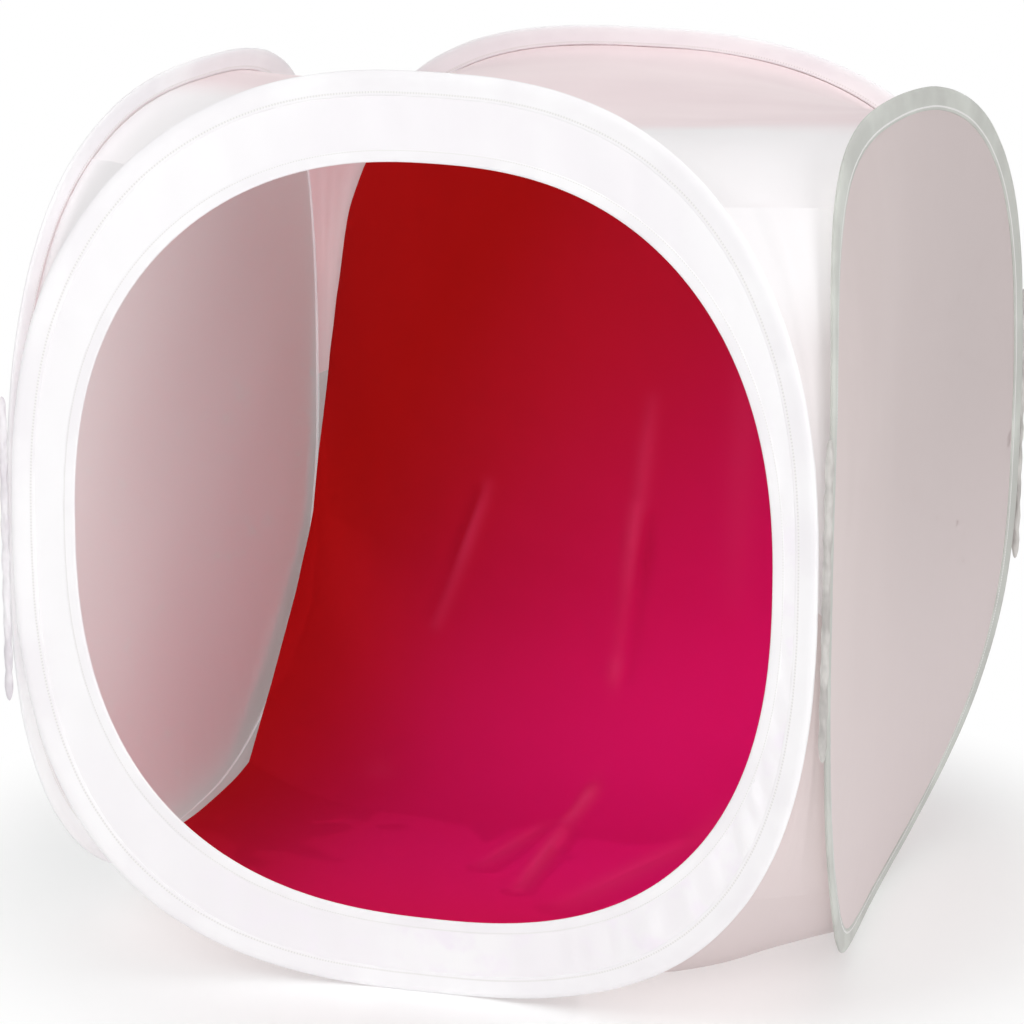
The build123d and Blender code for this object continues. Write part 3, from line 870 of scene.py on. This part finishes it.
# per vertex, how much painted crease highlight or painted shade it gets
creaseLight = bm.verts.layers.float.new("creaseLight")
for vert in bm.verts:
    vert[creaseLight] = creaseSum(vert.co) / fullCrease
addFolds(bm, backdropFolds)
shearPieces(bm, {
    "name": "backdrop_cloth", "material": backdropCloth, "slot": "backdrop_cloth", "nodes": ["backdrop"],
    "thickness": backdrop["thickness"], "held": "hung", "restsOn": ["backdrop_strip_cloth"],
})

strip = {"half": 0.210, "width": 0.025, "thickness": 0.0012, "clearance": 0.0006}


def placeStrip(s, t):
    back = hoops["back"]
    share = -strip["half"] * s / (back["span"] - backdrop["topInset"])
    inset = backdrop["topInset"] + strip["width"] * (1 - t) / 2
    x = strip["half"] * -s
    rise = (1 - abs(share) ** tent["roundness"]) ** (1 / tent["roundness"])
    return onCloth(back, x, rise * (back["rise"] - inset), -strip["clearance"])


bm = gridCloth(60, 6, placeStrip)
thicken(bm, strip["thickness"])
backdropStrip = finishPiece(bm, "backdrop_strip_cloth", whiteCloth, sharpAngle=50)
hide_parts("backdrop_strip")
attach(backdropStrip, "back")
print("backdrop made")

# corner seams: the two hoops' sleeves gathered into one soft roll
roll = {"length": 0.290, "radius": 0.0042, "columns": 40, "rows": 150}


def makeCornerSeam(name, corner, material):
    hoop = hoops[name]
    x = hoop["span"] + tent["cornerGap"]
    foot = hoop["outward"] * hoop["reach"] + hoop["along"] * x + Vector((0, 0, hoop["rise"]))
    seed = 5.3 * len(corner)

    def place(s, t):
        turn = math.pi * s
        end = min(1.0, (1 - abs(t)) * 9)
        twist = turn + 4.0 * t
        uneven = noise.noise(Vector((math.cos(turn), math.sin(turn), 16 * t + seed)))
        gather = 0.12 * math.sin(2 * twist + 22 * t + seed) + 0.18 * uneven
        r = roll["radius"] * math.sqrt(max(0.0, end * (2 - end))) * (0.85 + gather * 0.8)
        return foot + Vector((r * math.cos(turn), r * math.sin(turn), t * roll["length"] / 2))

    bm = gridCloth(roll["columns"], roll["rows"], place)
    bmesh.ops.remove_doubles(bm, verts=bm.verts, dist=0.00002)
    piece = finishPiece(bm, corner + "_seam_cloth", material)
    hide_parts(corner + "_seam")
    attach(piece, name)


for name, corner, material in (
    ("front", "front_right", seamCloth), ("right", "back_right", seamCloth),
    ("left", "front_left", paleSeamCloth), ("back", "back_left", paleSeamCloth),
):
    makeCornerSeam(name, corner, material)
print("corner seams made")

# the steel hoops and their ferrules are carried over from the frame
for name in hoops:
    for node, steel in ((name + "_hoop_wire", springSteel), (name + "_ferrule", ferruleSteel)):
        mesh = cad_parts[node].data
        mesh.materials.clear()
        mesh.materials.append(steel)


def addStage():
    bm = bmesh.new()
    bmesh.ops.create_grid(bm, x_segments=1, y_segments=1, size=12.0)
    floorMaterial = bpy.data.materials.new("studio_floor")
    floorMaterial.use_nodes = True
    tree = floorMaterial.node_tree
    shader = tree.nodes["Principled BSDF"]
    shader.inputs["Roughness"].default_value = 0.9
    shader.inputs["Specular IOR Level"].default_value = 0.0
    coords = tree.nodes.new("ShaderNodeTexCoord")
    reach = tree.nodes.new("ShaderNodeVectorMath")
    reach.operation = "LENGTH"
    tree.links.new(coords.outputs["Object"], reach.inputs[0])
    far = ramp(tree, reach.outputs["Value"], 0.42, 0.68)
    path = tree.nodes.new("ShaderNodeLightPath")
    glow = mathNode(tree, "MULTIPLY", far, path.outputs["Is Camera Ray"])
    tree.links.new(mixColour(tree, glow, (0.94, 0.94, 0.94), (0.0, 0.0, 0.0)), shader.inputs["Base Color"])
    tree.links.new(mixColour(tree, glow, (0.0, 0.0, 0.0), (1.0, 1.0, 1.0)), shader.inputs["Emission Color"])
    shader.inputs["Emission Strength"].default_value = 1.0
    floor = finishPiece(bm, "studio_floor", floorMaterial)


def addLight(name, energy, size, position, target, shadow):
    # lamps without shadow stand for the light that thin cloth lets through
    light = bpy.data.lights.new(name, "AREA")
    light.use_shadow = shadow
    light.energy = energy
    light.shape = "DISK"
    light.size = size
    lamp = bpy.data.objects.new(name, light)
    direction = Vector(target) - Vector(position)
    lamp.location = position
    lamp.rotation_euler = direction.to_track_quat("-Z", "Y").to_euler()
    bpy.context.scene.collection.objects.link(lamp)


def addWorld():
    # white to the camera, a plain soft grey to everything else
    world = bpy.data.worlds.new("studio")
    world.use_nodes = True
    bpy.context.scene.world = world
    tree = world.node_tree
    background = tree.nodes["Background"]
    path = tree.nodes.new("ShaderNodeLightPath")
    seen = mathNode(tree, "ADD", path.outputs["Is Camera Ray"], path.outputs["Is Glossy Ray"])
    seen = mathNode(tree, "ADD", seen, path.outputs["Is Transmission Ray"], clamp=True)
    tree.links.new(mixColour(tree, seen, (0.36, 0.36, 0.36), (1.0, 1.0, 1.0)), background.inputs["Color"])


camera = {
    "azimuth": 18.177, "elevation": 14.251, "roll": 0.429, "distance": 4.0229, "target": (0, 0, 0.408),
    "lens": 144.32, "shiftX": -0.03212, "shiftY": -0.03456,
}


def addCamera():
    a, e, r = (math.radians(camera[key]) for key in ("azimuth", "elevation", "roll"))
    back = Vector((math.sin(a) * math.cos(e), -math.cos(a) * math.cos(e), math.sin(e)))
    level = Vector((math.cos(a), math.sin(a), 0))
    upward = back.cross(level)
    right = level * math.cos(r) + upward * math.sin(r)
    upward = upward * math.cos(r) - level * math.sin(r)
    lens = bpy.data.cameras.new("studio_camera")
    lens.lens = camera["lens"]
    lens.sensor_width = 36.0
    lens.shift_x = camera["shiftX"]
    lens.shift_y = camera["shiftY"]
    lens.clip_end = 60.0
    stand = bpy.data.objects.new("studio_camera", lens)
    axes = Matrix((right, upward, back)).transposed().to_4x4()
    stand.matrix_world = Matrix.Translation(Vector(camera["target"]) + back * camera["distance"]) @ axes
    bpy.context.scene.collection.objects.link(stand)
    bpy.context.scene.camera = stand


addStage()
addLight("key_light", 25, 2.2, (-1.6, -2.6, 3.0), (0, 0, 0.4), True)
addLight("front_light", 45, 2.4, (0.6, -3.6, 1.6), (0, 0, 0.4), False)
addLight("side_light", 37, 2.4, (3.2, -0.7, 1.3), (0, 0, 0.4), False)
addLight("top_light", 28, 2.4, (0.1, 0.2, 3.5), (0, 0, 0.4), False)
addWorld()
addCamera()
bpy.context.scene.view_settings.view_transform = "Standard"
print("stage, lights and camera made")
